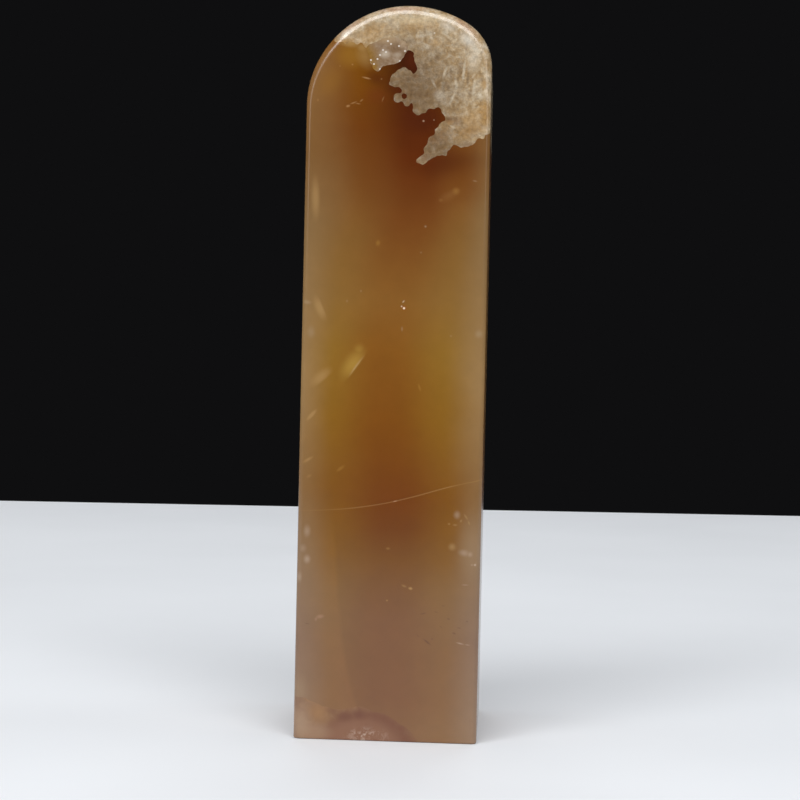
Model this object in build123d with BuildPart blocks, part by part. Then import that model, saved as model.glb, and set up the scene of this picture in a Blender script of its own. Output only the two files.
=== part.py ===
from build123d import *
import os
from math import acos, degrees, sqrt

os.makedirs("parts", exist_ok=True)

# Column: a square bar of stone under an uneven arch, in millimetres
width = 20.0
depth = 20.0
height = 80.0
crown_shift = 0.9            # the crown stands this far to the right of the middle
crown_radius = 12.2
shoulder_radius = 5.7
rim_easing = 0.6             # rounding of the long edges and of the arch's rims
foot_easing = 0.2            # rounding of the foot's edges

# Healed fracture: a thin film that rises to the right and, inside the stone, to the back
seam_thickness = 0.12
seam_rise_share = 0.14       # rise over run, from the front to the back

# Seal face: a raised border round four square spirals
relief_depth = 0.8
border_width = 1.25
stroke_width = 1.0
stroke_pitch = 2.0

rind_skin = 2.4              # how deep the rind's lumps reach in from the front, back and right side
crown_skin = 4.5             # how deep they reach down from the crown's height
quartz_skin = 1.8

overrun = 4.0                # how far the cutting bodies reach past what they cut

# Outline of the arch, from its tangent arcs
arch_radius = width / 2 + crown_shift
arch_spring = height - arch_radius
crown_centre_height = height - crown_radius
shoulder_across = width / 2 - shoulder_radius
centres_apart = crown_radius - shoulder_radius
shoulder_drop = sqrt(centres_apart**2 - (shoulder_across - crown_shift) ** 2)
shoulder_height = crown_centre_height + shoulder_drop
shoulder_turn = degrees(acos((shoulder_across - crown_shift) / centres_apart))

# Fracture line on the front face: place across as a share of the width, height as a share of the height
seam_line_shares = [
    (-0.46, 0.311),
    (-0.24, 0.315),
    (-0.04, 0.323),
    (0.12, 0.333),
    (0.32, 0.348),
    (0.50, 0.359),
]

# Lumps of the rind. Across runs from -0.5 to 0.5 of the width and depth from -0.5 to 0.5 of the depth;
# the drop below the crown and the radius are shares of the width.
# Thick middle of the rind, right through from front to back: across, drop, radius
core_shares = [
    (0.120, -0.420, 0.620),
    (0.780, 0.330, 0.460),
    (-0.205, 0.135, 0.085),
    (-0.130, 0.110, 0.092),
    (0.160, 0.150, 0.130),
    (0.330, 0.240, 0.200),
    (0.390, 0.420, 0.155),
    (0.426, 0.511, 0.120),
    (0.340, 0.565, 0.105),
]

# Lumps that show on the front face: across, drop, radius
front_lump_shares = [
    # along the left rim, down to the ochre patch
    (-0.310, 0.170, 0.041),
    (-0.262, 0.152, 0.060),
    (-0.208, 0.140, 0.080),
    (-0.138, 0.112, 0.087),
    # round the dark pocket
    (0.036, 0.156, 0.084),
    (0.110, 0.230, 0.050),
    (0.150, 0.289, 0.062),
    (0.161, 0.354, 0.068),
    (0.130, 0.409, 0.055),
    (0.210, 0.320, 0.095),
    (0.215, 0.440, 0.110),
    # lobes below the pocket
    (-0.017, 0.391, 0.046),
    (-0.034, 0.424, 0.033),
    (0.028, 0.460, 0.038),
    (0.066, 0.476, 0.058),
    (-0.012, 0.510, 0.027),
    (0.033, 0.524, 0.028),
    (0.106, 0.556, 0.041),
    (0.150, 0.523, 0.057),
    (0.203, 0.505, 0.055),
    (0.281, 0.579, 0.047),
    # tongue, from its root to its tip
    (0.262, 0.683, 0.060),
    (0.214, 0.739, 0.057),
    (0.247, 0.776, 0.046),
    (0.193, 0.783, 0.046),
    (0.151, 0.822, 0.033),
    (0.124, 0.847, 0.018),
    (0.101, 0.860, 0.011),
    # lower edge, out to the right side
    (0.306, 0.715, 0.055),
    (0.330, 0.650, 0.070),
    (0.360, 0.708, 0.062),
    (0.419, 0.679, 0.062),
    (0.478, 0.640, 0.070),
]

# Lumps that show on the back face: across, drop, radius
back_lump_shares = [
    (0.460, 0.620, 0.085),
    (0.380, 0.660, 0.085),
    (0.290, 0.690, 0.070),
    (0.220, 0.740, 0.045),
    (0.250, 0.600, 0.085),
    (0.200, 0.490, 0.095),
    (0.130, 0.400, 0.100),
    (0.170, 0.290, 0.110),
    (0.020, 0.270, 0.100),
    (-0.080, 0.230, 0.090),
    (-0.170, 0.200, 0.075),
    (-0.240, 0.190, 0.060),
]

# Lumps that show on the right side: depth, drop, radius
side_lump_shares = [
    (-0.43, 0.625, 0.085),
    (-0.30, 0.610, 0.095),
    (-0.12, 0.645, 0.105),
    (0.02, 0.650, 0.085),
    (0.13, 0.620, 0.095),
    (0.28, 0.605, 0.085),
    (0.42, 0.625, 0.085),
]

# Lumps that show on the left of the crown: across, depth, radius
crown_lump_shares = [
    (-0.29, -0.40, 0.085),
    (-0.26, -0.26, 0.095),
    (-0.30, -0.12, 0.090),
    (-0.27, 0.03, 0.100),
    (-0.29, 0.17, 0.085),
    (-0.26, 0.29, 0.095),
    (-0.29, 0.42, 0.085),
]

# Grains of the quartz patch on the front face: across, drop, radius
quartz_lump_shares = [
    (-0.129, 0.257, 0.058),
    (-0.075, 0.251, 0.077),
    (-0.015, 0.244, 0.063),
    (-0.122, 0.317, 0.041),
    (-0.090, 0.305, 0.038),
]

# Billows of the cloud in the foot: across, depth, height above the base, radius
cloud_lump_shares = [
    (-0.46, -0.44, 0.015, 0.165),
    (-0.30, -0.47, 0.020, 0.163),
    (-0.16, -0.48, 0.023, 0.152),
    (-0.02, -0.48, 0.000, 0.130),
    (0.075, -0.49, -0.010, 0.087),
    (-0.48, -0.22, -0.020, 0.130),
]


def front_rounds(lump_shares):
    """Draws lumps of the rind or the quartz, seen from the front, in the sketch that is open."""
    for across, drop, radius in lump_shares:
        with Locations((across * width, height - drop * width)):
            Circle(radius * width)


# The ground and polished stone, before it is told apart into its minerals
with BuildPart() as column:
    with BuildSketch(Plane.XZ):
        with BuildLine():
            Line((-width / 2, arch_spring), (-width / 2, 0))
            Line((-width / 2, 0), (width / 2, 0))
            Line((width / 2, 0), (width / 2, shoulder_height))
            CenterArc((shoulder_across, shoulder_height), shoulder_radius, 0, shoulder_turn)
            CenterArc((crown_shift, crown_centre_height), crown_radius, shoulder_turn, 90 - shoulder_turn)
            CenterArc((crown_shift, arch_spring), arch_radius, 90, 90)
        make_face()
    extrude(amount=depth / 2, both=True)
    faces_front_and_back = column.faces().sort_by(Axis.Y)
    rims = faces_front_and_back[0].edges() + faces_front_and_back[-1].edges()
    fillet(rims.filter_by(lambda edge: edge.center().Z > 0), rim_easing)
    fillet(column.faces().sort_by(Axis.Z)[0].edges(), foot_easing)

# The healed fracture's sheet, and all that lies below it. Both start in front of the stone and run
# through it to the back, climbing as they go.
seam_start = Plane.XZ.offset(depth / 2 + overrun)
seam_direction = Vector(0, 1, seam_rise_share)
seam_reach = (depth + 2 * overrun) * seam_direction.length
seam_reach_down = height + overrun
start_drop = overrun * seam_rise_share
seam_points = [(across * width, level * height - start_drop) for across, level in seam_line_shares]
seam_points.insert(0, (seam_points[0][0] - overrun, seam_points[0][1]))
seam_points.append((seam_points[-1][0] + overrun, seam_points[-1][1]))
raised_points = [(across, level + seam_thickness) for across, level in seam_points]

with BuildPart() as seam_sheet:
    with BuildSketch(seam_start):
        with BuildLine():
            Spline(seam_points)
            Spline(raised_points)
            Line(seam_points[0], raised_points[0])
            Line(seam_points[-1], raised_points[-1])
        make_face()
    extrude(amount=seam_reach, dir=seam_direction.normalized())

with BuildPart() as below_seam:
    with BuildSketch(seam_start):
        with BuildLine():
            Spline(seam_points)
            Polyline(
                seam_points[0],
                (seam_points[0][0], -seam_reach_down),
                (seam_points[-1][0], -seam_reach_down),
                seam_points[-1],
            )
        make_face()
    extrude(amount=seam_reach, dir=seam_direction.normalized())

# The rind at its full size, before it is ground flush with the stone: its thick middle, and lumps that
# reach in from each face as deep as the skin
with BuildPart() as rind_mass:
    with BuildSketch(Plane.XZ):
        front_rounds(core_shares)
    extrude(amount=depth / 2 + overrun, both=True)
    with BuildSketch(Plane.XZ.offset(depth / 2 - rind_skin)):
        front_rounds(front_lump_shares)
    extrude(amount=rind_skin + overrun)
    with BuildSketch(Plane.XZ.offset(rind_skin - depth / 2)):
        front_rounds(back_lump_shares)
    extrude(amount=-rind_skin - overrun)
    with BuildSketch(Plane.YZ.offset(width / 2 - rind_skin)):
        for deep, drop, radius in side_lump_shares:
            with Locations((deep * depth, height - drop * width)):
                Circle(radius * width)
    extrude(amount=rind_skin + overrun)
    with BuildSketch(Plane.XY.offset(height - crown_skin)):
        for across, deep, radius in crown_lump_shares:
            with Locations((across * width, deep * depth)):
                Circle(radius * width)
    extrude(amount=crown_skin + overrun)

with BuildPart() as quartz_mass:
    with BuildSketch(Plane.XZ.offset(depth / 2 - quartz_skin)):
        front_rounds(quartz_lump_shares)
    extrude(amount=quartz_skin + overrun)

# The cloud stays in the border and above the engraved ground
with BuildPart() as cloud_mass:
    for across, deep, rise, radius in cloud_lump_shares:
        with Locations((across * width, deep * depth, rise * width)):
            Sphere(radius * width, rotation=(90, 0, 0))
    with BuildSketch(Plane.XY.offset(-overrun)):
        Rectangle(width - 2 * border_width, depth - 2 * border_width)
    extrude(amount=overrun + relief_depth + border_width, mode=Mode.SUBTRACT)

# What the engraver cuts away: the ground inside the border, round the strokes of the square spirals.
# A spiral's corners are counted in pitches, and it spans three of them each way.
spiral_span = 3
spiral_side = spiral_span * stroke_pitch + stroke_width
spiral_corners = [(0, 0), (3, 0), (3, 3), (0, 3), (0, 1), (2, 1), (2, 2), (1, 2)]
field_width = width - 2 * border_width
field_depth = depth - 2 * border_width
columns_of_spirals = int(field_width // (spiral_side + stroke_width))
rows_of_spirals = int(field_depth // (spiral_side + stroke_width))
gap_across = (field_width - columns_of_spirals * spiral_side) / (columns_of_spirals + 1)
gap_deep = (field_depth - rows_of_spirals * spiral_side) / (rows_of_spirals + 1)

with BuildSketch() as square_spiral:
    for (from_a, from_b), (to_a, to_b) in zip(spiral_corners, spiral_corners[1:]):
        middle_a = (from_a + to_a - spiral_span) / 2
        middle_b = (from_b + to_b - spiral_span) / 2
        with Locations((middle_a * stroke_pitch, middle_b * stroke_pitch)):
            Rectangle(
                abs(to_a - from_a) * stroke_pitch + stroke_width,
                abs(to_b - from_b) * stroke_pitch + stroke_width,
            )

with BuildPart() as engraving:
    with BuildSketch(Plane.XY.offset(-overrun)):
        Rectangle(field_width, field_depth)
        with GridLocations(
            spiral_side + gap_across, spiral_side + gap_deep, columns_of_spirals, rows_of_spirals
        ):
            add(square_spiral.sketch, mode=Mode.SUBTRACT)
    extrude(amount=overrun + relief_depth)

# Honey-brown chalcedony above the fracture, with the hollows that the rind and the quartz fill
with BuildPart() as upper_stone:
    add(column.part)
    add(below_seam.part, mode=Mode.SUBTRACT)
    add(seam_sheet.part, mode=Mode.SUBTRACT)
    add(rind_mass.part, mode=Mode.SUBTRACT)
    add(quartz_mass.part, mode=Mode.SUBTRACT)
upper_stone.part.label = "upper_stone"
export_step(upper_stone.part, "parts/upper_stone.step")

# Chalcedony below the fracture, which carries the cut seal face
with BuildPart() as lower_stone:
    add(column.part)
    add(below_seam.part, mode=Mode.INTERSECT)
    add(cloud_mass.part, mode=Mode.SUBTRACT)
    add(engraving.part, mode=Mode.SUBTRACT)
lower_stone.part.label = "lower_stone"
export_step(lower_stone.part, "parts/lower_stone.step")

# Film of silica that heals the fracture and joins the two blocks
with BuildPart() as healed_seam:
    add(column.part)
    add(seam_sheet.part, mode=Mode.INTERSECT)
healed_seam.part.label = "healed_seam"
export_step(healed_seam.part, "parts/healed_seam.step")

# Cream crust of the nodule over the crown and the right shoulder
with BuildPart() as cream_rind:
    add(column.part)
    add(rind_mass.part, mode=Mode.INTERSECT)
    add(quartz_mass.part, mode=Mode.SUBTRACT)
cream_rind.part.label = "cream_rind"
export_step(cream_rind.part, "parts/cream_rind.step")

# Sparkling quartz beside the dark pocket
with BuildPart() as quartz_patch:
    add(column.part)
    add(quartz_mass.part, mode=Mode.INTERSECT)
quartz_patch.part.label = "quartz_patch"
export_step(quartz_patch.part, "parts/quartz_patch.step")

# Mauve-white cloud in the front left of the foot
with BuildPart() as base_cloud:
    add(column.part)
    add(cloud_mass.part, mode=Mode.INTERSECT)
base_cloud.part.label = "base_cloud"
export_step(base_cloud.part, "parts/base_cloud.step")
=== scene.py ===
import math

import bmesh
import bpy
from mathutils import Matrix, Vector, noise


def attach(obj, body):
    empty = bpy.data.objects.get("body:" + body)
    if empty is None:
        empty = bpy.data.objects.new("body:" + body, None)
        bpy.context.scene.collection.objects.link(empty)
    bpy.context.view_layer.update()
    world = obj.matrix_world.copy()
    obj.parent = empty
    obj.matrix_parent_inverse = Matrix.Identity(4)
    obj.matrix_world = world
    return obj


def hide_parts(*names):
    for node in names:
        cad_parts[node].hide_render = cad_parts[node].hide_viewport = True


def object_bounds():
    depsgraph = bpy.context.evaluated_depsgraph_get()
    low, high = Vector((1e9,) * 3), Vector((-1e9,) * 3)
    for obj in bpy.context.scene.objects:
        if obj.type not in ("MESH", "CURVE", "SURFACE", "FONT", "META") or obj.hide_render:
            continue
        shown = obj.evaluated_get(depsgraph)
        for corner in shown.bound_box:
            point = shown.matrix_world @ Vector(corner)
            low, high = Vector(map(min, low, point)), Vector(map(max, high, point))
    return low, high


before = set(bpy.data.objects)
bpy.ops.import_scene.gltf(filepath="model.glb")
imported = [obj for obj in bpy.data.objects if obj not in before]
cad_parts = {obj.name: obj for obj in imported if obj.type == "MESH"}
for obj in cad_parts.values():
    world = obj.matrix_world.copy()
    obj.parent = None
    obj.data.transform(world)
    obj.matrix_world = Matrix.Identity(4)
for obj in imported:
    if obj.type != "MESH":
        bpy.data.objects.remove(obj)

cad_box = [list(corner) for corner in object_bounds()]

# The photograph's viewpoint
# A long lens stands about 20 cm in front of the stamp, a little to its right and level with its
# middle. The camera leans by a degree, so the stamp does in the picture.
mm = 0.001
picture_px = 800
focal_px = 1800
film_width = 36.0
eye_turn = math.radians(3.33)
eye_reach = 205.1 * mm
eye_height = 41.1 * mm
heading = math.radians(3.24)
pitch = math.radians(-1.14)
roll = math.radians(1.28)

eye = Vector((math.sin(eye_turn) * eye_reach, -math.cos(eye_turn) * eye_reach, eye_height))
ahead = Vector((-math.sin(heading) * math.cos(pitch), math.cos(heading) * math.cos(pitch), math.sin(pitch)))
level_right = ahead.cross(Vector((0, 0, 1))).normalized()
level_up = level_right.cross(ahead)
picture_right = level_right * math.cos(roll) + level_up * math.sin(roll)
picture_up = level_up * math.cos(roll) - level_right * math.sin(roll)

camera_data = bpy.data.cameras.new("viewpoint")
camera_data.sensor_width = film_width
camera_data.lens = film_width * focal_px / picture_px
camera_data.clip_start = 10 * mm
camera = bpy.data.objects.new("viewpoint", camera_data)
bpy.context.collection.objects.link(camera)
camera.matrix_world = Matrix((
    (picture_right.x, picture_up.x, -ahead.x, eye.x),
    (picture_right.y, picture_up.y, -ahead.y, eye.y),
    (picture_right.z, picture_up.z, -ahead.z, eye.z),
    (0, 0, 0, 1),
))
bpy.context.scene.camera = camera
bpy.context.scene.view_settings.view_transform = "Standard"

left, front, foot = cad_box[0]
right, back, crown = cad_box[1]


def front_spot(across_px, down_px):
    """The place on the stamp's front face that the photograph shows at a pixel."""
    half = picture_px / 2
    ray = ahead + picture_right * (across_px - half) / focal_px + picture_up * (half - down_px) / focal_px
    return eye + ray * ((front - eye.y) / ray.y)


# Table and light
# The stamp stands on a pale table in a dark room. A wide soft light hangs in front of it and above,
# two weaker ones stand to the left and right like windows, and weak ones fill its sides and back.
def linear(colour):
    """An sRGB hex colour as linear red, green, blue and alpha."""
    parts = [int(colour[place:place + 2], 16) / 255 for place in (1, 3, 5)]
    return [part / 12.92 if part <= 0.04045 else ((part + 0.055) / 1.055) ** 2.4 for part in parts] + [1.0]


def add(tree, kind, inputs=None, stops=None, **settings):
    """Adds a shader node with its settings. An input is a value, a socket, or a node's first output."""
    node = tree.nodes.new("ShaderNode" + kind)
    for name, value in settings.items():
        setattr(node, name, value)
    for name, value in (inputs or {}).items():
        if isinstance(value, bpy.types.Node):
            value = value.outputs[0]
        if isinstance(value, bpy.types.NodeSocket):
            tree.links.new(value, node.inputs[name])
        else:
            node.inputs[name].default_value = value
    for count, (place, colour) in enumerate(stops or []):
        stop = node.color_ramp.elements[count] if count < 2 else node.color_ramp.elements.new(place)
        stop.position = place
        stop.color = linear(colour) if isinstance(colour, str) else (colour, colour, colour, 1)
    return node


def new_material(name):
    """An empty material, its node tree, and the places on a piece in millimetres.

    A pattern's scale is then the number of its grains to a millimetre.
    """
    material = bpy.data.materials.new(name)
    material.use_nodes = True
    tree = material.node_tree
    tree.nodes.clear()
    metres = add(tree, "TexCoord").outputs["Object"]
    return material, tree, add(tree, "VectorMath", {0: metres, "Scale": 1 / mm}, operation="SCALE")


def new_piece(name, bm, material):
    """Turns a bmesh into a mesh object."""
    mesh = bpy.data.meshes.new(name)
    bm.to_mesh(mesh)
    bm.free()
    mesh.materials.append(material)
    piece = bpy.data.objects.new(name, mesh)
    bpy.context.collection.objects.link(piece)
    return piece


table_near = -200 * mm
table_far = 309 * mm
table_half_width = 450 * mm
table_thickness = 4 * mm
table_edge = 0.6 * mm
table_turn = math.radians(5.5)

# Painted board: matt, with a coat that is very slightly uneven over patches of about 80 mm
painted_board, tree, places = new_material("painted_board")
unevenness = add(tree, "TexNoise", {"Vector": places, "Scale": 0.012, "Detail": 3.0})
tone = add(tree, "ValToRGB", {"Fac": unevenness}, stops=[(0.3, "#e1e4e8"), (0.7, "#e7eaee")])
board = add(tree, "BsdfPrincipled", {"Base Color": tone, "Roughness": 0.6, "IOR": 1.45})
add(tree, "OutputMaterial", {"Surface": board})

bm = bmesh.new()
bmesh.ops.create_cube(bm, size=1.0)
bmesh.ops.scale(bm, verts=bm.verts, vec=(2 * table_half_width, table_far - table_near, table_thickness))
middle = (0, (table_near + table_far) / 2, foot - table_thickness / 2)
bmesh.ops.translate(bm, verts=bm.verts, vec=middle)
bmesh.ops.rotate(bm, verts=bm.verts, cent=(0, table_far, 0), matrix=Matrix.Rotation(table_turn, 3, "Z"))
bmesh.ops.bevel(bm, geom=bm.edges, offset=table_edge, segments=3, profile=0.5, affect="EDGES", material=-1)
table = new_piece("table", bm, painted_board)

# The room: dark to the eye and in reflections, with a little light from its walls
room = bpy.data.worlds.new("dark_room")
room.use_nodes = True
tree = room.node_tree
tree.nodes.clear()
ray = add(tree, "LightPath").outputs
seen = add(tree, "Math", {0: ray["Is Camera Ray"], 1: ray["Is Glossy Ray"]}, operation="MAXIMUM")
walls = add(tree, "Background", {"Color": linear("#c9ccd2"), "Strength": 0.25})
darkness = add(tree, "Background", {"Color": linear("#0f0f10"), "Strength": 1.0})
mixed = add(tree, "MixShader", {0: seen, 1: walls, 2: darkness})
add(tree, "OutputWorld", {"Surface": mixed})
bpy.context.scene.world = room

# Each light's azimuth, 0 in front and 90 at the right, and its elevation, in degrees. Then its
# distance, width and height in metres, its power in watts, and whether the polish mirrors it.
lights = [
    ("front_light", -4, 50, 0.9, 1.1, 0.55, 8.6, True),
    ("left_window", -40, 24, 0.8, 0.3, 0.5, 1.1, True),
    ("right_window", 45, 24, 0.8, 0.3, 0.5, 0.7, True),
    ("left_fill", -100, 20, 0.9, 0.5, 0.5, 1.0, False),
    ("right_fill", 100, 20, 0.9, 0.5, 0.5, 1.3, False),
    ("back_fill", 180, 60, 0.9, 0.5, 0.5, 2.2, False),
]
for name, azimuth, elevation, reach, width, height, power, mirrored in lights:
    data = bpy.data.lights.new(name, "AREA")
    data.shape = "RECTANGLE"
    data.size = width
    data.size_y = height
    data.energy = power
    light = bpy.data.objects.new(name, data)
    bpy.context.collection.objects.link(light)
    turn = math.radians(azimuth)
    rise = math.radians(elevation)
    away = Vector((math.sin(turn) * math.cos(rise), -math.cos(turn) * math.cos(rise), math.sin(rise)))
    light.location = Vector((0, 0, (foot + crown) / 2)) + away * reach
    light.rotation_euler = away.to_track_quat("Z", "Y").to_euler()
    light.visible_glossy = mirrored

# The bar
# The lapidary saws a square bar, grinds its top to an uneven arch, and polishes it. The arch's rims
# are eased more than the long edges, and the foot's edges hardly at all. Each mineral is cut from it.
crown_shift = 0.9 * mm
crown_radius = 12.2 * mm
shoulder_radius = 5.7 * mm
arch_radius = right + crown_shift
arch_spring = crown - arch_radius
crown_centre_height = crown - crown_radius
shoulder_across = right - shoulder_radius
shoulder_turn = math.acos((shoulder_across - crown_shift) / (crown_radius - shoulder_radius))
shoulder_height = crown_centre_height + (crown_radius - shoulder_radius) * math.sin(shoulder_turn)
edge_easing = 0.6 * mm
rim_easing = 1.3 * mm
easing_grows_from = 67.5 * mm
easing_full_at = 78.5 * mm
# Distance between the rows below the shoulder, along which the easing grows
easing_row = 2 * mm
foot_easing = 0.2 * mm
foot_tolerance = 0.01 * mm
rounding_steps = 10
# The least turns, in radians, at which an edge counts as the foot's and as a crisp one
foot_turn = 1.0
crisp_turn = 0.9


def easing_at(height):
    """Radius of the rounding at a height: a smooth growth from the sides to the crown."""
    share = (height - easing_grows_from) / (easing_full_at - easing_grows_from)
    share = min(max(share, 0.0), 1.0)
    return edge_easing + (rim_easing - edge_easing) * share * share * (3 - 2 * share)


def facing_in(spot):
    """Direction from the outline into the stone."""
    if spot.x < crown_shift:
        if spot.z < arch_spring:
            return Vector((1, 0, 0))
        centre = (crown_shift, arch_spring)
    elif math.atan2(spot.z - crown_centre_height, spot.x - crown_shift) > shoulder_turn:
        centre = (crown_shift, crown_centre_height)
    elif spot.z > shoulder_height:
        centre = (shoulder_across, shoulder_height)
    else:
        return Vector((-1, 0, 0))
    return Vector((centre[0] - spot.x, 0, centre[1] - spot.z)).normalized()


def verts_in(parts):
    """The vertices among what an operator made."""
    return [part for part in parts if isinstance(part, bmesh.types.BMVert)]


def drawn_on(bm, verts, height):
    """Extends the outline's wire straight up or down to a height."""
    grown = bmesh.ops.extrude_vert_indiv(bm, verts=verts)["verts"]
    grown[0].co.z = height
    return grown


def polished_column():
    """The whole bar, as a closed shell."""
    bm = bmesh.new()
    start = bm.verts.new((left, front, foot))
    end = drawn_on(bm, [start], easing_grows_from)
    end = drawn_on(bm, end, arch_spring)
    # Each arc's centre, turn and number of steps
    arcs = [
        ((crown_shift, front, arch_spring), math.pi / 2, 48),
        ((crown_shift, front, crown_centre_height), math.pi / 2 - shoulder_turn, 18),
        ((shoulder_across, front, shoulder_height), shoulder_turn, 20),
    ]
    for centre, turn, steps in arcs:
        arc = bmesh.ops.spin(bm, geom=end, cent=centre, axis=(0, 1, 0), angle=turn, steps=steps)
        end = verts_in(arc["geom_last"])
    for height in (shoulder_height - easing_row, shoulder_height - 2 * easing_row, easing_grows_from, foot):
        end = drawn_on(bm, end, height)
    bm.edges.new((end[0], start))

    easing = bm.verts.layers.float.new("easing")
    inward = bm.verts.layers.float_vector.new("inward")
    outline = bm.verts.layers.float_vector.new("outline")
    for vert in bm.verts:
        vert[easing] = easing_at(vert.co.z)
        vert[inward] = facing_in(vert.co)
        vert[outline] = vert.co

    quarter = [math.pi / 2 * step / rounding_steps for step in range(rounding_steps + 1)]
    rows = [(1 - math.sin(turn), front, 1 - math.cos(turn)) for turn in quarter]
    rows += [(1 - math.sin(turn), back, math.cos(turn) - 1) for turn in reversed(quarter)]
    rim = list(bm.edges)
    verts = list(bm.verts)
    for count, (inset, face, rise) in enumerate(rows):
        if count:
            grown = bmesh.ops.extrude_edge_only(bm, edges=rim)["geom"]
            rim = [part for part in grown if isinstance(part, bmesh.types.BMEdge)]
            verts = verts_in(grown)
        for vert in verts:
            vert.co = vert[outline] + vert[inward] * vert[easing] * inset
            vert.co.y = face + vert[easing] * rise
    bmesh.ops.holes_fill(bm, edges=bm.edges, sides=0)
    bmesh.ops.recalc_face_normals(bm, faces=bm.faces)
    low = [edge for edge in bm.edges if max(vert.co.z for vert in edge.verts) < foot + foot_tolerance]
    corners = [edge for edge in low if edge.calc_face_angle() > foot_turn]
    bmesh.ops.bevel(bm, geom=corners, offset=foot_easing, segments=3, profile=0.5, affect="EDGES",
                    material=-1)
    bmesh.ops.recalc_face_normals(bm, faces=bm.faces)
    return bm


# Boundaries inside the stone get a material of their own while the pieces are cut
inside = bpy.data.materials.new("inside")
column_mesh = bpy.data.meshes.new("column")
column_bm = polished_column()
column_bm.to_mesh(column_mesh)
column_bm.free()
column_mesh.materials.append(inside)


def settled(piece):
    """Works a piece's modifiers into a mesh of its own."""
    shape = piece.evaluated_get(bpy.context.evaluated_depsgraph_get())
    mesh = bpy.data.meshes.new_from_object(shape)
    piece.modifiers.clear()
    piece.data = mesh


def polished(name, material, slot, node, *cuts):
    """A mineral of the bar: the bar cut by each shape, with crisp joints and smooth outer faces."""
    piece = bpy.data.objects.new(name, column_mesh.copy())
    bpy.context.collection.objects.link(piece)
    piece.data.materials[0] = material
    for cutter, operation in cuts:
        cut = piece.modifiers.new("cut", "BOOLEAN")
        cut.operation = operation
        cut.object = cutter
        cut.solver = "MANIFOLD"
        cut.material_mode = "TRANSFER"
        settled(piece)
    mesh = piece.data
    outside = list(mesh.materials).index(material)
    bm = bmesh.new()
    bm.from_mesh(mesh)
    for edge in bm.edges:
        kinds = {face.material_index == outside for face in edge.link_faces}
        edge.smooth = len(kinds) == 1 and edge.calc_face_angle(0) < crisp_turn
    for face in bm.faces:
        face.smooth = True
        face.material_index = 0
    bm.to_mesh(mesh)
    bm.free()
    mesh.materials.clear()
    mesh.materials.append(material)
    flat_faces = piece.modifiers.new("flat_faces", "WEIGHTED_NORMAL")
    flat_faces.mode = "FACE_AREA"
    flat_faces.weight = 100
    flat_faces.keep_sharp = True
    settled(piece)
    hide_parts(node)
    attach(piece, "root")


cutters = []


def cutting_shape(name, bm):
    """A solid that the bar is cut by. It goes once all pieces are cut."""
    bmesh.ops.recalc_face_normals(bm, faces=bm.faces)
    cutters.append(new_piece(name, bm, inside))
    return cutters[-1]


# Grey quartz patch
# Clear quartz grains that grew beside the dark pocket under the crown, ground flush with the bar. The
# patch grew as a rough mass, so it is modelled whole, with a lumpy skin, and then cut by the bar.
quartz_px = [
    (366, 48), (367, 53), (370, 58), (371, 64), (374, 69), (378, 71), (384, 67), (392, 65), (397, 63),
    (400, 61), (404, 56), (407, 52), (408, 46), (405, 41), (399, 38), (392, 39), (385, 37), (378, 40),
    (371, 43),
]
quartz_depth = 1.8 * mm
quartz_voxel = 0.12 * mm
outside_reach = 1.2 * mm
calm_depth = 3 * mm
# Layers of roughness: size, height, and height at the front, where the photograph gives the border
quartz_roughness = [(0.8 * mm, 0.2 * mm, 0.2 * mm), (0.35 * mm, 0.16 * mm, 0.16 * mm)]


def traced(bm, outline_px, depth):
    """Adds a slab behind an outline that is read off the photograph's front face."""
    verts = []
    for across_px, down_px in outline_px:
        spot = front_spot(across_px, down_px)
        verts.append(bm.verts.new((spot.x, front - outside_reach, spot.z)))
    face = bm.faces.new(verts)
    moved = verts_in(bmesh.ops.extrude_face_region(bm, geom=[face])["geom"])
    bmesh.ops.translate(bm, verts=moved, vec=(0, outside_reach + depth, 0))
    bmesh.ops.recalc_face_normals(bm, faces=bm.faces)


def melted(bm, voxel):
    """Melts overlapping bodies into one, with an even skin."""
    lumps = new_piece("lumps", bm, inside)
    melt = lumps.modifiers.new("melt", "REMESH")
    melt.mode = "VOXEL"
    melt.voxel_size = voxel
    settled(lumps)
    bm = bmesh.new()
    bm.from_mesh(lumps.data)
    bpy.data.objects.remove(lumps)
    return bm


def rough_mass(name, bm, voxel, roughness):
    """Melts lumps together and roughens their skin, less so within the calm depth of the front."""
    bm = melted(bm, voxel)
    bmesh.ops.smooth_vert(bm, verts=bm.verts, factor=0.5, use_axis_x=True, use_axis_y=True, use_axis_z=True)
    bm.normal_update()
    pushes = []
    for vert in bm.verts:
        push = 0.0
        deep = min(max((vert.co.y - front) / calm_depth, 0.0), 1.0)
        for size, height, front_height in roughness:
            push += noise.noise(vert.co / size) * (front_height + (height - front_height) * deep)
        pushes.append(vert.normal * push)
    for vert, push in zip(bm.verts, pushes):
        vert.co += push
    return cutting_shape(name, melted(bm, voxel))


bm = bmesh.new()
traced(bm, quartz_px, quartz_depth)
quartz_mass = rough_mass("quartz_mass", bm, quartz_voxel, quartz_roughness)

# Half depth in millimetres of a spot of colour behind the front, and the softness of its crisp end
spot_depth = 1.5
crisp_end = 0.12


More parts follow.
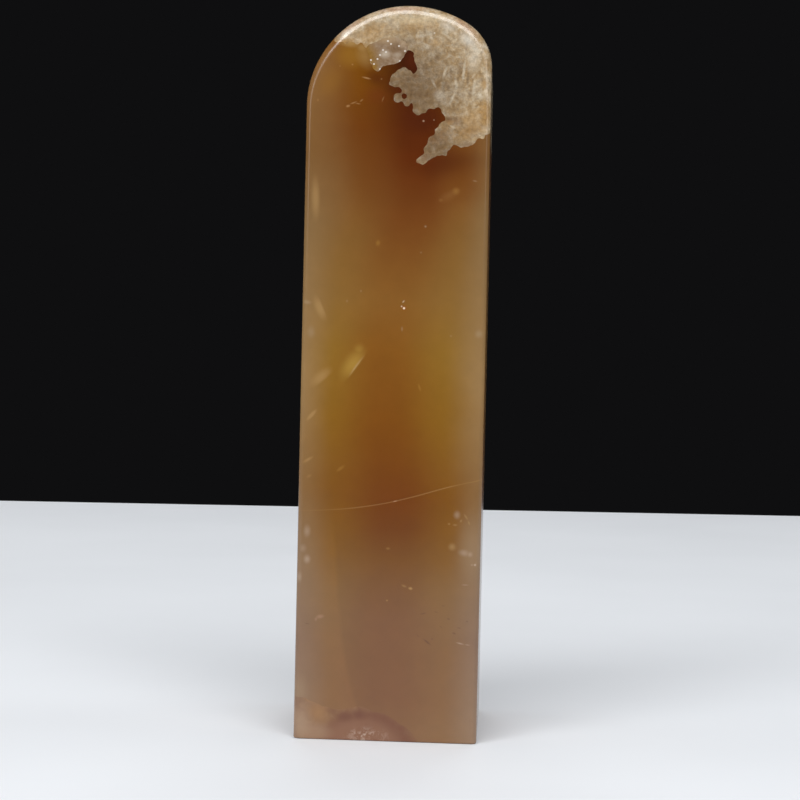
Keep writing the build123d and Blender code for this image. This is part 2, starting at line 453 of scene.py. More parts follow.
def soft_spot(tree, places, spot):
    """A share that is greatest inside a soft ellipsoid behind the front face, and 0 outside it.

    A spot gives its middle and its half sizes in the photograph's pixels, its clockwise lean in
    degrees, how soft it is and how strong, and a crisp end where a flaw breaks off on its right.
    """
    across_px, down_px, half_across_px, half_down_px, lean, softness, strength = spot[:7]
    centre = front_spot(across_px, down_px)
    scale = (front_spot(across_px + 1, down_px) - centre).length / mm
    moved = add(tree, "Mapping", {
        "Vector": places, "Location": centre / mm, "Rotation": (0, math.radians(lean), 0),
        "Scale": (half_across_px * scale, spot_depth, half_down_px * scale),
    }, vector_type="TEXTURE")
    far = add(tree, "VectorMath", {0: moved}, operation="LENGTH").outputs["Value"]
    share = add(tree, "MapRange", {"Value": far, "From Min": 1.0, "From Max": 1.0 - softness,
                                   "To Max": strength}, interpolation_type="SMOOTHSTEP")
    for end in spot[7:]:
        side = add(tree, "SeparateXYZ", {0: moved})
        kept = add(tree, "MapRange", {"Value": side, "From Min": end + crisp_end,
                                      "From Max": end - crisp_end})
        share = add(tree, "Math", {0: share, 1: kept}, operation="MULTIPLY")
    return share


def stained_and_highlighted(tree, places, colour, stains_and_highlights):
    """Lays soft spots of each colour over a colour: stains, and also painted highlights and glints."""
    for spot_colour, spots in stains_and_highlights:
        share = soft_spot(tree, places, spots[0])
        for spot in spots[1:]:
            share = add(tree, "Math", {0: share, 1: soft_spot(tree, places, spot)}, operation="MAXIMUM")
        colour = add(tree, "Mix", {0: share, 6: colour, 7: linear(spot_colour)}, data_type="RGBA").outputs[2]
    return colour


# A spot is across, down, half across, half down, lean, softness, strength, and its crisp end if any
quartz_stains_and_glints = [
    ("#a88d69", [(385, 38, 24, 9, 0, 1, 0.8), (404, 42, 9, 8, 0, 1, 0.5)]),
    ("#7f5823", [(392, 69, 20, 6, -16, 0.8, 0.6)]),
    ("#7b5a35", [(384, 54, 30, 22, 0, 1, 0.4)]),
    ("#beb09d", [(385, 54, 9, 7, 0, 1, 0.7), (397, 55, 7, 4, 0, 1, 0.4)]),
    ("#886329", [(364, 56, 19, 26, -14, 0.8, 1.0), (373, 67, 9, 9, 0, 0.9, 1.0)]),
]
# Painted highlights: bright glints of single grains, across and down
painted_glints_px = [(388, 41), (386, 52), (380, 55), (377.5, 59), (374, 64), (380, 69), (405, 51), (400, 61),
             (383, 50), (391, 44), (371, 60), (399, 46)]
quartz_stains_and_glints.append(("#f3ece2", [(across, down, 1.4, 1.3, 0, 0.9, 0.8) for across, down in painted_glints_px]))

# Grey quartz, ground: clouded grains with small facets that catch the light, and glints painted on
# single grains. The clouding changes over about 1 mm, and a grain is a third of a millimetre wide.
grey_quartz, tree, places = new_material("grey_quartz")
clouding = add(tree, "TexNoise", {"Vector": places, "Scale": 0.9, "Detail": 5.0, "Roughness": 0.65})
tone = add(tree, "ValToRGB", {"Fac": clouding},
           stops=[(0.32, "#735a42"), (0.5, "#8c755e"), (0.68, "#a5937f")])
grains = add(tree, "TexVoronoi", {"Vector": places, "Scale": 3.0})
shade = add(tree, "MapRange", {"Value": grains, "From Max": 0.6, "To Min": 1.05, "To Max": 0.94})
colour = add(tree, "VectorMath", {0: tone, "Scale": shade}, operation="SCALE")
colour = stained_and_highlighted(tree, places, colour, quartz_stains_and_glints)
facets = add(tree, "Bump", {"Height": grains, "Strength": 0.4, "Distance": 0.08 * mm})
druse = add(tree, "BsdfPrincipled", {"Base Color": colour, "Roughness": 0.22, "IOR": 1.54,
                                     "Normal": facets})
add(tree, "OutputMaterial", {"Surface": druse})
polished("quartz_druse", grey_quartz, "grey_quartz", "quartz_patch", (quartz_mass, "INTERSECT"))

# Cream rind
# The nodule's weathered skin of sugary quartz with iron stains, over the crown and the right shoulder.
# It grew onto the chalcedony and was ground flush with it, though it never gets quite as smooth.
rind_px = [
    (320, 10), (331, 36), (340, 42), (350, 42), (355, 43), (362, 44), (366, 48), (367, 53), (370, 58),
    (371, 64), (374, 69), (378, 70), (384, 66), (392, 64), (397, 62), (400, 60), (403, 55), (406, 51),
    (409, 49), (413, 52), (416, 58), (417, 66), (418, 71), (417, 74), (412, 76), (411, 71), (405, 68),
    (400, 69), (395, 71), (391, 74), (390, 79), (388, 83), (389, 86), (394, 87), (399, 88), (402, 90),
    (405, 94), (407, 98), (404, 98), (402, 95), (399, 93), (395, 94), (393, 97), (394, 100), (396, 102),
    (399, 102), (401, 101), (405, 105), (409, 105), (412, 101), (413, 99), (414, 103), (412, 107),
    (412, 111), (415, 113), (419, 114.5), (424, 113), (428, 111), (431, 109), (434, 108), (438, 108),
    (442, 110), (443, 115), (445, 119), (448, 121), (444, 123), (438, 124), (433, 132), (429, 138),
    (426.5, 146), (422.5, 152), (420, 158), (414, 163), (418, 164), (422, 164), (430, 160.5),
    (437, 156), (442, 156), (447, 153), (452, 147), (456, 146), (461, 147), (468, 147.5), (473, 145.5),
    (476, 141), (481, 138), (487, 134), (500, 130), (520, 60), (500, -20), (400, -30),
]
rind_depth = 2.4 * mm
rind_voxel = 0.14 * mm
rind_roughness = [(0.8 * mm, 0.26 * mm, 0.26 * mm), (0.45 * mm, 0.34 * mm, 0.34 * mm),
                  (2.4 * mm, 0.9 * mm, 0.0)]
core_overlap = 0.4 * mm

# Lumps behind the front, in millimetres: two places and a radius. The places are across and height
# in the core and at the back, depth and height at the side, and across and depth on the crown.
rind_core = [(2.4, 88.4, 12.4), (15.6, 73.4, 9.2), (-4.1, 77.3, 1.7), (-2.6, 77.8, 1.84), (3.2, 77.0, 2.6),
             (6.6, 75.2, 4.0), (7.8, 71.6, 3.1), (8.5, 69.8, 2.4), (6.8, 68.7, 2.1)]
rind_back = [(9.2, 67.6, 1.7), (7.6, 66.8, 1.7), (5.8, 66.2, 1.4), (4.4, 65.2, 0.9), (5.0, 68.0, 1.7),
             (4.0, 70.2, 1.9), (2.6, 72.0, 2.0), (3.4, 74.2, 2.2), (0.4, 74.6, 2.0), (-1.6, 75.4, 1.8),
             (-3.4, 76.0, 1.5), (-4.8, 76.2, 1.2)]
rind_side = [(-8.6, 67.5, 1.7), (-6.0, 67.8, 1.9), (-2.4, 67.1, 2.1), (0.4, 67.0, 1.7), (2.6, 67.6, 1.9),
             (5.6, 67.9, 1.7), (8.4, 67.5, 1.7)]
rind_crown = [(-5.8, -8.0, 1.7), (-5.2, -5.2, 1.9), (-6.0, -2.4, 1.8), (-5.4, 0.6, 2.0),
              (-5.8, 3.4, 1.7), (-5.2, 5.8, 1.9), (-5.8, 8.4, 1.7)]


def ball(bm, centre, radius):
    """Adds a lump."""
    bmesh.ops.create_icosphere(bm, subdivisions=3, radius=radius, matrix=Matrix.Translation(centre))


def arch_height(across):
    """Height of the arch's surface left of the crown."""
    return arch_spring + math.sqrt(arch_radius ** 2 - (across - crown_shift) ** 2)


bm = bmesh.new()
traced(bm, rind_px, rind_depth)
near = front + rind_depth - core_overlap
far = back + outside_reach
for across, height, radius in rind_core:
    place = Matrix.Translation((across * mm, (near + far) / 2, height * mm))
    bmesh.ops.create_cone(bm, cap_ends=True, segments=48, radius1=radius * mm, radius2=radius * mm,
                          depth=far - near, matrix=place @ Matrix.Rotation(math.pi / 2, 4, "X"))
for across, height, radius in rind_back:
    ball(bm, (across * mm, back, height * mm), radius * mm)
for depth, height, radius in rind_side:
    ball(bm, (right, depth * mm, height * mm), radius * mm)
for across, depth, radius in rind_crown:
    ball(bm, (across * mm, depth * mm, arch_height(across * mm)), radius * mm)
rind_mass = rough_mass("rind_mass", bm, rind_voxel, rind_roughness)

crust_stains_and_highlights = [
    # thin over the dark stone towards its inner edge
    ("#553817", [(412, 92, 84, 90, 0, 1, 0.74), (436, 148, 56, 42, 30, 1, 0.7)]),
    # ochre iron stains
    ("#ac8652", [(372, 34, 30, 12, -20, 1, 0.5), (420, 24, 40, 9, 0, 1, 0.4),
                 (484, 84, 4, 7, 0, 0.9, 0.7), (482, 112, 7, 18, 10, 1, 0.6),
                 (345, 41, 20, 6, -10, 1, 0.7), (474, 129, 20, 9, -20, 1, 0.5),
                 (474, 120, 22, 18, 0, 1, 0.5), (436, 43, 9, 6, 0, 1, 0.5)]),
    ("#9a743f", [(485, 118, 9, 26, 0, 1, 0.75), (348, 44, 22, 7, 4, 0.9, 0.8),
                 (364, 47, 8, 6, 30, 0.9, 0.6)]),
    # painted reflection: pinker over the arch, above the bright rim
    ("#b48d77", [(400, 8, 60, 5, -3, 1, 0.6), (350, 26, 30, 5, -38, 1, 0.6),
                 (465, 24, 30, 6, 38, 1, 0.5)]),
    # ochre flecks on the crown and at the lower edge
    ("#a57f4c", [(417, 19.5, 12, 1.6, -6, 0.8, 0.55), (450, 122, 5, 4, 0, 0.9, 0.5)]),
    # smoky gaps between the grains
    ("#6d553a", [(437, 58, 5, 5, 30, 0.9, 0.8), (426, 68, 5, 4, 0, 0.9, 0.6), (448, 87, 3, 4, 0, 0.9, 0.6),
                 (409, 42, 10, 6, 0, 1, 0.5), (460, 68, 3.5, 13, 8, 0.9, 0.6),
                 (468, 78, 2.5, 12, 4, 0.9, 0.55), (451, 74, 2.5, 9, -6, 0.9, 0.55),
                 (446, 84, 3, 6, 20, 0.9, 0.5), (470, 94, 2.5, 10, 12, 1, 0.4),
                 (440, 112, 7, 4, -10, 1, 0.5), (407, 79.5, 7, 3, -20, 0.8, 0.7),
                 (407, 96, 3, 5, -20, 0.8, 0.5)]),
    # thin edges, where the dark stone shows through
    ("#6c4a2b", [(401, 92, 6, 4, 0, 1, 0.6), (398, 106, 9, 4, 0, 1, 0.6), (412, 107, 6, 5, 0, 1, 0.5),
                 (416, 162, 7, 5, 40, 1, 0.8), (449, 119.5, 9, 6, 0, 1, 0.75),
                 (456, 121, 12, 9, 0, 1, 0.55), (469, 145, 14, 6, 0, 1, 0.6),
                 (432, 137, 6, 10, 30, 1, 0.5), (415, 76, 5, 4, 0, 1, 0.6),
                 (391, 82, 4, 5, 0, 1, 0.4), (425, 157, 8, 5, 35, 1, 0.5)]),
    # browner towards the tongue's tip and along the lower edge
    ("#6f4a27", [(440, 136, 20, 13, -30, 1, 0.4), (424, 157, 13, 9, 0, 1, 0.35)]),
    ("#835d2a", [(468, 131, 22, 13, -12, 1, 0.6)]),
    # painted highlight: paler along the crown, just inside its bright rim
    ("#e6d6b4", [(418, 19, 44, 9, -3, 1, 0.35)]),
    # pale strands on the right
    ("#cfc3ad", [(464, 70, 2.2, 16, 6, 0.9, 0.5), (456, 84, 2.2, 10, -8, 0.9, 0.4),
                 (474, 88, 2.6, 16, 4, 1, 0.4), (445, 72, 2.2, 9, 20, 0.9, 0.4),
                 (452, 99, 2, 10, 25, 0.9, 0.4), (434, 84, 1.8, 7, -30, 0.9, 0.35)]),
    # milky grains; the first three, along the rims of the shoulders, are also a painted highlight
    ("#d9d2c3", [(468, 40, 16, 9, 42, 1, 0.7), (449, 27, 14, 6, 25, 1, 0.4),
                 (346, 33, 10, 5, -40, 1, 0.5)]),
    ("#d6cbb8", [(439, 95, 9, 8, 20, 1, 0.3), (474, 58, 9, 20, 10, 1, 0.4),
                 (421, 36, 8, 3, -10, 1, 0.3), (434.5, 33, 1.4, 1.2, 0, 0.7, 0.6),
                 (426, 46, 8, 3, 10, 1, 0.25)]),
]
# Weathered crust, ground: cottony grains, and a gloss that is duller where they stand open. Its
# blotches are about 2 mm wide, its tufts 0.8 mm and its flecks 0.4 mm. The sugary grain is drawn at
# 0.2 mm, coarser than it is, so that it shows.
cream_crust, tree, places = new_material("cream_weathered_crust")
blotches = add(tree, "TexNoise", {"Vector": places, "Scale": 0.5, "Detail": 6.0, "Roughness": 0.62,
                                  "Distortion": 0.6})
colour = add(tree, "ValToRGB", {"Fac": blotches},
             stops=[(0.32, "#98794e"), (0.44, "#a98e67"), (0.54, "#b19b7b"), (0.64, "#bba98e"),
                    (0.76, "#cdc1ad")])
cotton = add(tree, "TexNoise", {"Vector": places, "Scale": 1.3, "Detail": 6.0, "Roughness": 0.7,
                                "Distortion": 0.5})
# Smoky hollows of the cotton, and its milky tufts
for limit, strength, tint in ((0.3, 0.6, "#775a38"), (0.72, 0.65, "#d6cab4")):
    share = add(tree, "MapRange", {"Value": cotton, "From Min": 0.5, "From Max": limit,
                                   "To Max": strength})
    colour = add(tree, "Mix", {0: share, 6: colour, 7: linear(tint)}, data_type="RGBA").outputs[2]
colour = stained_and_highlighted(tree, places, colour, crust_stains_and_highlights)
flecks = add(tree, "TexNoise", {"Vector": places, "Scale": 2.4, "Detail": 5.0, "Roughness": 0.65})
mottle = add(tree, "MapRange", {"Value": flecks, "From Min": 0.3, "From Max": 0.7, "To Min": 0.72,
                                "To Max": 1.28})
colour = add(tree, "VectorMath", {0: colour, "Scale": mottle}, operation="SCALE")
fine = add(tree, "TexNoise", {"Vector": places, "Scale": 5.0, "Detail": 3.0, "Roughness": 0.6})
sugar = add(tree, "Bump", {"Height": fine, "Strength": 0.5, "Distance": 0.05 * mm})
gloss = add(tree, "MapRange", {"Value": blotches, "From Min": 0.3, "From Max": 0.7, "To Min": 0.38,
                               "To Max": 0.22})
crust = add(tree, "BsdfPrincipled", {"Base Color": colour, "Roughness": gloss, "IOR": 1.54,
                                     "Normal": sugar, "Coat Weight": 0.9, "Coat Roughness": 0.12})
add(tree, "OutputMaterial", {"Surface": crust})
polished("cream_crust", cream_crust, "cream_rind", "cream_rind",
         (rind_mass, "INTERSECT"), (quartz_mass, "DIFFERENCE"))

# Healed fracture
# A crack that ran across the stone and was healed by silica: a film about a tenth of a millimetre
# thick that rises to the right and to the back. It parts the chalcedony into two blocks and joins them.
seam_thickness = 0.12 * mm
seam_rise = 0.14
# Across and height of points on its underside at the front, in millimetres
seam_points = [(-9.2, 24.88), (-4.8, 25.2), (-0.8, 25.84), (2.4, 26.64), (6.4, 27.84), (10.0, 28.72)]
slab_margin = 5 * mm


def seam_height(across, depth):
    """Height of the fracture's underside: a smooth curve through its points, tilted up to the back."""
    count = 1
    while count < len(seam_points) - 1 and across > seam_points[count][0] * mm:
        count += 1
    before, low, high, after = (seam_points[min(max(place, 0), len(seam_points) - 1)]
                                for place in range(count - 2, count + 2))
    span = high[0] - low[0]
    share = (across / mm - low[0]) / span
    slope_low = (high[1] - before[1]) / (high[0] - before[0])
    slope_high = (after[1] - low[1]) / (after[0] - low[0])
    height = low[1] * (2 * share ** 3 - 3 * share ** 2 + 1) + high[1] * (3 * share ** 2 - 2 * share ** 3)
    height += span * slope_low * (share ** 3 - 2 * share ** 2 + share)
    height += span * slope_high * (share ** 3 - share ** 2)
    return height * mm + (depth - front) * seam_rise


def fracture_slab(name, low_lift, high_lift, low_level=None, high_level=None):
    """The space between two surfaces: each is the fracture, lifted, or a level plane."""
    bm = bmesh.new()
    bmesh.ops.create_grid(bm, x_segments=64, y_segments=24, size=right + outside_reach)
    top = set(verts_in(bmesh.ops.extrude_face_region(bm, geom=bm.faces[:])["geom"]))
    for vert in bm.verts:
        lift, level = (high_lift, high_level) if vert in top else (low_lift, low_level)
        height = seam_height(min(max(vert.co.x, seam_points[0][0] * mm), right), vert.co.y)
        vert.co.z = level if level is not None else height + lift
    return cutting_shape(name, bm)


above_fracture = fracture_slab("above_fracture", seam_thickness, 0, high_level=crown + slab_margin)
in_fracture = fracture_slab("in_fracture", 0, seam_thickness)
below_fracture = fracture_slab("below_fracture", 0, 0, low_level=foot - slab_margin)

# The film's colour starts from the chalcedony's, which shows through it. Light that enters the stone
# comes out again near its edges, so they look paler and greyer than the deep red-brown heart.
half_width = (right - left) / 2 / mm
bar_height = (crown - foot) / mm

# Colours down the bar, at rows of the photograph: of its heart, of the stone round the heart, and
# of the haze close to its faces' edges
heart_colours = [(60, "#3a1606"), (110, "#4f2108"), (160, "#5c290a"), (220, "#6e3f18"), (300, "#7f5524"),
                 (350, "#7d4f1a"), (420, "#764613"), (500, "#6a380f"), (530, "#67370a"), (560, "#6c410d"),
                 (590, "#6d441a"), (620, "#704724"), (660, "#704725"), (700, "#734a2a"), (735, "#7a5535")]
body_colours = [(60, "#744509"), (130, "#69390f"), (170, "#724820"), (200, "#784f24"), (240, "#7c5729"),
                (300, "#835f2d"), (350, "#866124"), (420, "#81591b"), (470, "#7a501a"), (500, "#754a15"),
                (530, "#774d14"), (560, "#774e16"), (590, "#795427"), (620, "#78542c"), (660, "#78522b"),
                (700, "#7a542f"), (735, "#7f5b38")]
haze_colours = [(60, "#855f36"), (150, "#78552f"), (220, "#80633f"), (380, "#92734b"), (490, "#805f3a"),
                (560, "#816548"), (640, "#7b5e48"), (735, "#876b52")]

# How far the dark heart lies to the right of the middle, in millimetres, at rows of the photograph
heart_rows = [(60, 2.0), (130, 2.2), (200, 2.2), (260, 0.6), (340, -0.6), (420, -0.7), (470, 0.1),
              (500, 0.5), (560, 0.4), (600, 0.0), (735, 0.3)]
heart_span = 4.0

# Shares of the way out from the heart between which it turns to body, and body to haze
body_grows = (0.08, 0.68)
haze_grows = (0.58, 1.04)
# Share of the half width past which the heart's lean to one side fades
lean_fades = 0.4
# How far the cloudiness shifts these shares, and the rows
cloudy_outward = 0.12
cloudy_upward = 0.03
# Flaws fade in between these depths from the front, in millimetres, and their edges wander this far
flaws_grow = (2.0, 3.0)
flaw_wander = 2.5


def share_of_height(down_px):
    """Height on the bar, as a share, of a row of the photograph."""
    return (front_spot(picture_px / 2, down_px).z - foot) / (crown - foot)


def down_the_bar(tree, height, rows):
    """A value that changes with the height, from its values at rows of the photograph."""
    stops = [(share_of_height(row), value) for row, value in reversed(rows)]
    return add(tree, "ValToRGB", {"Fac": height}, stops=stops)


def hidden_flaws(tree, places, colour):
    """Feathers and specks in the faces that the photograph doesn't show, like those of the front.

    The feathers' edges wander in waves of about 1 mm.
    """
    depth = add(tree, "SeparateXYZ", {0: places}).outputs["Y"]
    away = add(tree, "MapRange", {"Value": depth, "From Min": flaws_grow[0] - half_width,
                                  "From Max": flaws_grow[1] - half_width})
    wander = add(tree, "TexNoise", {"Vector": places, "Scale": 0.9, "Detail": 3.0}).outputs["Color"]
    wavy = add(tree, "VectorMath", {0: wander, 1: (flaw_wander,) * 3, 2: places},
               operation="MULTIPLY_ADD")
    leaning = add(tree, "Mapping", {"Vector": wavy, "Rotation": (0.4, 0.6, 0), "Scale": (0.5, 0.5, 0.16)})
    # Feathers in cells 2 mm wide and 6 mm long, then specks in cells of 2 mm: their scale, their reach
    # as a share of the cell, the share of the cells that stay bare, strength and colour
    flaws = [(leaning, 1.0, 0.32, 0.86, 0.35, "#aa8757"), (places, 0.5, 0.09, 0.8, 0.7, "#c8ab84")]
    for where, scale, reach, bare, strength, tint in flaws:
        cells = add(tree, "TexVoronoi", {"Vector": where, "Scale": scale})
        share = add(tree, "MapRange", {"Value": cells, "From Min": reach, "From Max": reach / 3,
                                       "To Max": strength})
        pick = add(tree, "SeparateColor", {0: cells.outputs["Color"]})
        pick = add(tree, "Math", {0: pick, 1: bare}, operation="GREATER_THAN")
        pick = add(tree, "Math", {0: pick, 1: away}, operation="MULTIPLY")
        share = add(tree, "Math", {0: share, 1: pick}, operation="MULTIPLY")
        colour = add(tree, "Mix", {0: share, 6: colour, 7: linear(tint)}, data_type="RGBA").outputs[2]
    return colour


def honey_colour(tree, places):
    """Colour of the chalcedony at a place in millimetres.

    Cloudiness of about 6 mm shifts where it changes, and wisps of about 2 mm shade it faintly.
    """
    apart = add(tree, "SeparateXYZ", {0: places}).outputs
    clouds = add(tree, "TexNoise", {"Vector": places, "Scale": 0.16, "Detail": 3.0})
    drift = add(tree, "Math", {0: clouds, 1: -0.5}, operation="ADD")
    height = add(tree, "Math", {0: apart["Z"], 1: bar_height}, operation="DIVIDE")
    shift = down_the_bar(tree, height, [(row, shift / heart_span / 2 + 0.5) for row, shift in heart_rows])
    shift = add(tree, "MapRange", {"Value": shift, "To Min": -heart_span, "To Max": heart_span})
    across = add(tree, "Math", {0: apart["X"], 1: shift}, operation="SUBTRACT")
    across = add(tree, "Math", {0: across}, operation="ABSOLUTE")
    outer = add(tree, "Math", {0: apart["X"]}, operation="ABSOLUTE")
    near_edge = add(tree, "MapRange", {"Value": outer, "From Min": lean_fades * half_width,
                                       "From Max": half_width})
    across = add(tree, "Mix", {0: near_edge, 2: across, 3: outer}, data_type="FLOAT")
    depth = add(tree, "Math", {0: apart["Y"]}, operation="ABSOLUTE")
    nearest = add(tree, "Math", {0: across, 1: depth}, operation="MINIMUM")
    edge = add(tree, "Math", {0: nearest, 1: half_width}, operation="DIVIDE")
    edge = add(tree, "Math", {0: drift, 1: cloudy_outward, 2: edge}, operation="MULTIPLY_ADD")
    height = add(tree, "Math", {0: drift, 1: cloudy_upward, 2: height}, operation="MULTIPLY_ADD")
    colour = down_the_bar(tree, height, heart_colours)
    for (start, full), rows in ((body_grows, body_colours), (haze_grows, haze_colours)):
        share = add(tree, "MapRange", {"Value": edge, "From Min": start, "From Max": full},
                    interpolation_type="SMOOTHSTEP")
        over = down_the_bar(tree, height, rows)
        colour = add(tree, "Mix", {0: share, 6: colour, 7: over}, data_type="RGBA").outputs[2]
    wisps = add(tree, "TexNoise", {"Vector": places, "Scale": 0.5, "Detail": 4.0, "Roughness": 0.6})
    shade = add(tree, "MapRange", {"Value": wisps, "From Min": 0.25, "From Max": 0.75, "To Min": 0.95,
                                   "To Max": 1.05})
    colour = add(tree, "VectorMath", {0: colour, "Scale": shade}, operation="SCALE")
    return hidden_flaws(tree, places, colour)


def polished_stone(tree, places, colour):
    """A waxy polish over a colour: silica's gloss, with the faint waves of 4 mm that buffing leaves."""
    waves = add(tree, "TexNoise", {"Vector": places, "Scale": 0.25, "Detail": 2.0})
    relief = add(tree, "Bump", {"Height": waves, "Strength": 0.25, "Distance": 0.02 * mm})
    stone = add(tree, "BsdfPrincipled", {"Base Color": colour, "Roughness": 0.18, "IOR": 1.54,
                                         "Normal": relief})
    add(tree, "OutputMaterial", {"Surface": stone})


# Film of silica, polished with the bar: a thread, whitish on the right and fainter on the left
silica_film, tree, places = new_material("healing_silica")
apart = add(tree, "SeparateXYZ", {0: places})
along = add(tree, "MapRange", {"Value": apart, "From Min": -half_width, "From Max": half_width})
share = add(tree, "ValToRGB", {"Fac": along},
            stops=[(0.0, 0.1), (0.2, 0.2), (0.3, 0.3), (0.5, 0.3), (0.82, 0.45), (0.88, 0.2), (1.0, 0.3)])
colour = add(tree, "Mix", {0: share, 6: honey_colour(tree, places), 7: linear("#a07b4b")},
             data_type="RGBA").outputs[2]
# a painted glint on the thread, a little left of the middle
colour = stained_and_highlighted(tree, places, colour, [("#c4a080", [(395, 500.5, 3, 4, 0, 0.9, 0.35)])])
polished_stone(tree, places, colour)
polished("silica_film", silica_film, "seam_silica", "healed_seam", (in_fracture, "INTERSECT"))

# Upper block of chalcedony
# Honey-brown, translucent silica above the fracture, with the pockets of the rind and the quartz. It
# is sawn with diamond and buffed, and the film of silica joins it to the block below.
upper_stains_and_glint = [
    # the stone is darkest round the rind, and glows ochre on the left shoulder
    ("#4c1f0b", [(424, 121, 30, 19, 0, 1, 0.8), (402, 88, 24, 16, 20, 1, 0.6),
                 (412, 60, 11, 13, 0, 0.8, 0.8), (450, 164, 46, 22, -8, 1, 0.7),
                 (376, 78, 16, 10, 20, 1, 0.5)]),
    ("#6a390f", [(462, 182, 36, 34, 0, 1, 0.5)]),
    ("#8a5f20", [(351, 55, 22, 19, 0, 0.9, 0.8), (330, 82, 16, 24, 30, 1, 0.35)]),
    ("#94713f", [(365, 56, 12, 18, -20, 1, 0.65)]),
    ("#a3824f", [(350, 43, 17, 6, 6, 1, 0.75), (362, 47, 8, 6, 20, 1, 0.5)]),
    ("#6d3114", [(376, 96, 18, 14, 0, 1, 0.35)]),
    ("#65350d", [(370, 168, 36, 74, 0, 1, 0.5)]),
    # feathers: healed cracks that catch the light
    ("#aa8757", [(315.5, 198, 6, 28, -2, 0.9, 0.45), (320, 308, 7, 17, -24, 0.9, 0.5, 0.45),
                 (321, 377, 8, 17, 48, 0.9, 0.45, 0.5), (311.5, 415, 2.6, 9.5, 42, 0.7, 0.5),
                 (308, 459.5, 2.2, 8, 58, 0.8, 0.4), (309, 476, 2.2, 4, 60, 0.9, 0.25)]),
    ("#a9863c", [(353, 364, 13, 25, 35, 1, 0.65, 0.35), (359, 350, 8, 9, 20, 1, 0.4)]),
    ("#bfa57a", [(356.6, 366.4, 2.4, 16, 35, 0.9, 0.35, 0.1)]),
    ("#a07535", [(340.5, 468.5, 2.4, 7, 52, 0.8, 0.35), (419.5, 387.5, 1.7, 5.5, -18, 0.8, 0.4),
                 (378, 243, 3.5, 4.5, 20, 1, 0.45), (456, 191, 5, 5, 0, 1, 0.35)]),
    ("#946b3c", [(450, 195, 7, 18, 62, 1, 0.2), (441, 200, 4, 3, 0, 1, 0.3)]),
    ("#a38c70", [(307, 302, 6, 3, 10, 0.9, 0.4), (311, 332, 6, 9, 0, 1, 0.3),
                 (479, 334, 6, 6, 0, 1, 0.4), (425.5, 226.5, 1.8, 1.7, 0, 0.9, 0.5),
                 (421, 252.5, 1.6, 1.4, 0, 0.9, 0.35), (361, 291, 1.4, 1.8, 0, 0.9, 0.35),
                 (402, 329, 1.3, 3.6, 0, 0.9, 0.35), (347, 301, 1.6, 2, 0, 0.9, 0.3),
                 (451, 336, 1.8, 1.6, 0, 0.9, 0.3), (475, 181, 3.4, 1.2, 10, 0.9, 0.35)]),
    # a small pit with an orange ring, and a painted glint in it
    ("#8f4a12", [(404, 308, 4.5, 4, 0, 0.9, 0.5)]),
    ("#f4e2c8", [(404, 308.2, 1.6, 1.6, 0, 0.8, 1.0), (401.6, 306.4, 1.2, 1.2, 0, 0.8, 0.5),
                 (403.5, 301.5, 2.2, 1, -50, 0.8, 0.35)]),
    # threads and specks beside the pocket, and the redder skin of the left shoulder
    ("#6b3416", [(323, 44, 5, 12, 40, 1, 0.7), (312, 64, 4, 12, 25, 1, 0.5)]),
    ("#ad8253", [(366.5, 78, 6, 1.3, 12, 0.8, 0.6), (348, 106, 3, 1.8, -15, 0.9, 0.6),
                 (353.5, 102.8, 5, 1.1, -22, 0.9, 0.5), (358, 103.6, 4, 1, 8, 0.9, 0.4),
                 (361.5, 100.4, 3, 1.2, -42, 0.9, 0.4), (318, 100, 1.5, 2, 0, 0.9, 0.3),
                 (381.5, 79, 1.3, 1.3, 0, 0.9, 0.4), (352.5, 64.5, 1.5, 1.3, 0, 0.9, 0.4),
                 (340, 66, 1.3, 1.3, 0, 0.9, 0.3), (383, 99, 1, 4, 20, 0.9, 0.3)]),
    ("#c09a7c", [(423.5, 121, 1.6, 1.5, 0, 0.9, 0.6), (434, 120, 1.2, 1.2, 0, 0.9, 0.35)]),
]
# Polished chalcedony: a waxy gloss over deep colour
upper_chalcedony, tree, places = new_material("polished_honey_chalcedony")
polished_stone(tree, places, stained_and_highlighted(tree, places, honey_colour(tree, places), upper_stains_and_glint))
polished("upper_chalcedony", upper_chalcedony, "honey_chalcedony", "upper_stone",
         (above_fracture, "INTERSECT"), (rind_mass, "DIFFERENCE"), (quartz_mass, "DIFFERENCE"))

# Cut seal face
# The seal's underside is engraved with a graver: a raised border round four square spirals, a
# plain fret with no lettering, and the ground between them sunk by 0.8 mm.
relief_depth = 0.8 * mm
border_width = 1.25 * mm
stroke_width = 1.0 * mm
stroke_pitch = 2.0 * mm
stroke_margin = 2.0 * mm
spiral_corners = [(0, 0), (3, 0), (3, 3), (0, 3), (0, 1), (2, 1), (2, 2), (1, 2)]
spiral_span = 3
spiral_side = spiral_span * stroke_pitch + stroke_width
field = right - left - 2 * border_width
gap = (field - 2 * spiral_side) / 3


def block(bm, across, depth, wide, deep, low, high):
    """Adds a block between two heights."""
    made = bmesh.ops.create_cube(bm, size=1.0)["verts"]
    bmesh.ops.scale(bm, verts=made, vec=(wide, deep, high - low))
    bmesh.ops.translate(bm, verts=made, vec=(across, depth, (low + high) / 2))


